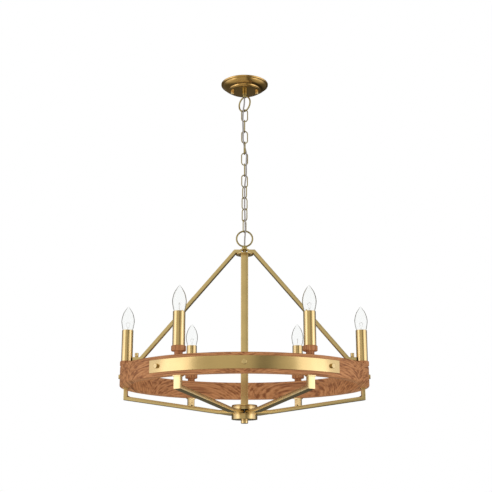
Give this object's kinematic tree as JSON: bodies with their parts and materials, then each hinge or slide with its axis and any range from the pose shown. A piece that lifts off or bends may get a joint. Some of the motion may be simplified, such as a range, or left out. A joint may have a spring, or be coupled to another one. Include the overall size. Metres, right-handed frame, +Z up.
{
  "type": "wagon wheel chandelier",
  "caption": "Wagon wheel chandelier: a wooden rim with brass bands and candle lights, on bent brass arms and straps, hung by a chain from a round ceiling canopy.",
  "frame": {"origin": "centre of the ceiling box screw pattern, in the plane of the ceiling", "axes": "+Z up into the ceiling along the hanging axis, +X along the two straps, -Y to the front"},
  "size_m": [0.672, 0.676, 0.968],
  "materials": {
    "aged_brass": "satin aged brass plating, lacquered",
    "dull_brass": "dull antique brass plating",
    "zinc_steel": "zinc plated steel",
    "green_screw": "green painted steel",
    "cord_jacket": "translucent grey flexible plastic",
    "stained_wood": "medium brown stain with a satin varnish",
    "pale_wood": "plain beech",
    "black_plastic": "moulded black phenolic",
    "clear_glass": "clear blown glass",
    "bulb_nickel": "nickel plated brass"
  },
  "bodies": {
    "canopy_set": {"canopy": "aged_brass", "box_strip": "zinc_steel", "stud_strip": "zinc_steel", "strip_rivet": "zinc_steel", "ground_screw": "green_screw", "canopy_studs": "zinc_steel", "canopy_nuts": "aged_brass", "canopy_loop": "dull_brass", "loop_nut": "aged_brass", "power_cord": "cord_jacket"},
    "chain_link_01": {"chain_link_01": "dull_brass"},
    "chain_link_02": {"chain_link_02": "dull_brass"},
    "chain_link_03": {"chain_link_03": "dull_brass"},
    "chain_link_04": {"chain_link_04": "dull_brass"},
    "chain_link_05": {"chain_link_05": "dull_brass"},
    "chain_link_06": {"chain_link_06": "dull_brass"},
    "chain_link_07": {"chain_link_07": "dull_brass"},
    "chain_link_08": {"chain_link_08": "dull_brass"},
    "chain_link_09": {"chain_link_09": "dull_brass"},
    "chain_link_10": {"chain_link_10": "dull_brass"},
    "chain_link_11": {"chain_link_11": "dull_brass"},
    "wheel_frame": {"frame_loop": "dull_brass", "top_washer": "aged_brass", "top_plate": "aged_brass", "strap_left": "aged_brass", "strap_right": "aged_brass", "strap_screws": "zinc_steel", "foot_knobs": "aged_brass", "foot_spacers": "aged_brass", "rim_brackets": "aged_brass", "bracket_screws": "zinc_steel", "centre_tube": "aged_brass", "tube_plugs": "zinc_steel", "hub_cap": "aged_brass", "hub_core": "zinc_steel", "hub_cup": "aged_brass", "hub_finial": "aged_brass", "arms": "aged_brass", "felloes": "stained_wood", "felloe_dowels": "pale_wood", "band_front": "aged_brass", "band_back": "aged_brass", "rim_screws": "aged_brass", "candle_cups": "stained_wood", "candle_sockets": "black_plastic", "candle_sleeves": "aged_brass", "candle_stems": "zinc_steel", "lamp_wires": "cord_jacket"},
    "bulb_1": {"bulb_glass_1": "clear_glass", "bulb_base_1": "bulb_nickel"},
    "bulb_2": {"bulb_glass_2": "clear_glass", "bulb_base_2": "bulb_nickel"},
    "bulb_3": {"bulb_glass_3": "clear_glass", "bulb_base_3": "bulb_nickel"},
    "bulb_4": {"bulb_glass_4": "clear_glass", "bulb_base_4": "bulb_nickel"},
    "bulb_5": {"bulb_glass_5": "clear_glass", "bulb_base_5": "bulb_nickel"},
    "bulb_6": {"bulb_glass_6": "clear_glass", "bulb_base_6": "bulb_nickel"}
  },
  "joints": [
    {"name": "link_01_swing", "type": "hinge", "parent": "canopy_set", "child": "chain_link_01", "pos_m": [0, 0, -0.08275], "axis": [0.7071, -0.7071, 0], "range_deg": [-8, 8], "deforming": ["power_cord"]},
    {"name": "link_02_swing", "type": "hinge", "parent": "chain_link_01", "child": "chain_link_02", "pos_m": [0, 0, -0.11504], "axis": [1, 0, 0], "range_deg": [-8, 8]},
    {"name": "link_03_swing", "type": "hinge", "parent": "chain_link_02", "child": "chain_link_03", "pos_m": [0, 0, -0.14808], "axis": [-0.0349, 0.9994, 0], "range_deg": [-8, 8]},
    {"name": "link_04_swing", "type": "hinge", "parent": "chain_link_03", "child": "chain_link_04", "pos_m": [0, 0, -0.18112], "axis": [0.9781, 0.2079, 0], "range_deg": [-8, 8]},
    {"name": "link_05_swing", "type": "hinge", "parent": "chain_link_04", "child": "chain_link_05", "pos_m": [0, 0, -0.21416], "axis": [-0.1736, 0.9848, 0], "range_deg": [-8, 8]},
    {"name": "link_06_swing", "type": "hinge", "parent": "chain_link_05", "child": "chain_link_06", "pos_m": [0, 0, -0.2472], "axis": [0.9994, 0.0349, 0], "range_deg": [-8, 8]},
    {"name": "link_07_swing", "type": "hinge", "parent": "chain_link_06", "child": "chain_link_07", "pos_m": [0, 0, -0.28024], "axis": [-0.0349, 0.9994, 0], "range_deg": [-8, 8]},
    {"name": "link_08_swing", "type": "hinge", "parent": "chain_link_07", "child": "chain_link_08", "pos_m": [0, 0, -0.31328], "axis": [0.9397, 0.342, 0], "range_deg": [-8, 8]},
    {"name": "link_09_swing", "type": "hinge", "parent": "chain_link_08", "child": "chain_link_09", "pos_m": [0, 0, -0.34632], "axis": [-0.6428, 0.766, 0], "range_deg": [-8, 8]},
    {"name": "link_10_swing", "type": "hinge", "parent": "chain_link_09", "child": "chain_link_10", "pos_m": [0, 0, -0.37936], "axis": [0.8192, 0.5736, 0], "range_deg": [-8, 8]},
    {"name": "link_11_swing", "type": "hinge", "parent": "chain_link_10", "child": "chain_link_11", "pos_m": [0, 0, -0.4124], "axis": [-0.7771, 0.6293, 0], "range_deg": [-8, 8]},
    {"name": "wheel_frame_swing", "type": "hinge", "parent": "chain_link_11", "child": "wheel_frame", "pos_m": [0, 0, -0.44544], "axis": [0.4695, 0.8829, 0], "range_deg": [-8, 8]},
    {"name": "bulb_1_out", "type": "slide", "parent": "wheel_frame", "child": "bulb_1", "axis": [0, 0, 1], "range_m": [0, 0.026]},
    {"name": "bulb_2_out", "type": "slide", "parent": "wheel_frame", "child": "bulb_2", "axis": [0, 0, 1], "range_m": [0, 0.026]},
    {"name": "bulb_3_out", "type": "slide", "parent": "wheel_frame", "child": "bulb_3", "axis": [0, 0, 1], "range_m": [0, 0.026]},
    {"name": "bulb_4_out", "type": "slide", "parent": "wheel_frame", "child": "bulb_4", "axis": [0, 0, 1], "range_m": [0, 0.026]},
    {"name": "bulb_5_out", "type": "slide", "parent": "wheel_frame", "child": "bulb_5", "axis": [0, 0, 1], "range_m": [0, 0.026]},
    {"name": "bulb_6_out", "type": "slide", "parent": "wheel_frame", "child": "bulb_6", "axis": [0, 0, 1], "range_m": [0, 0.026]}
  ]
}
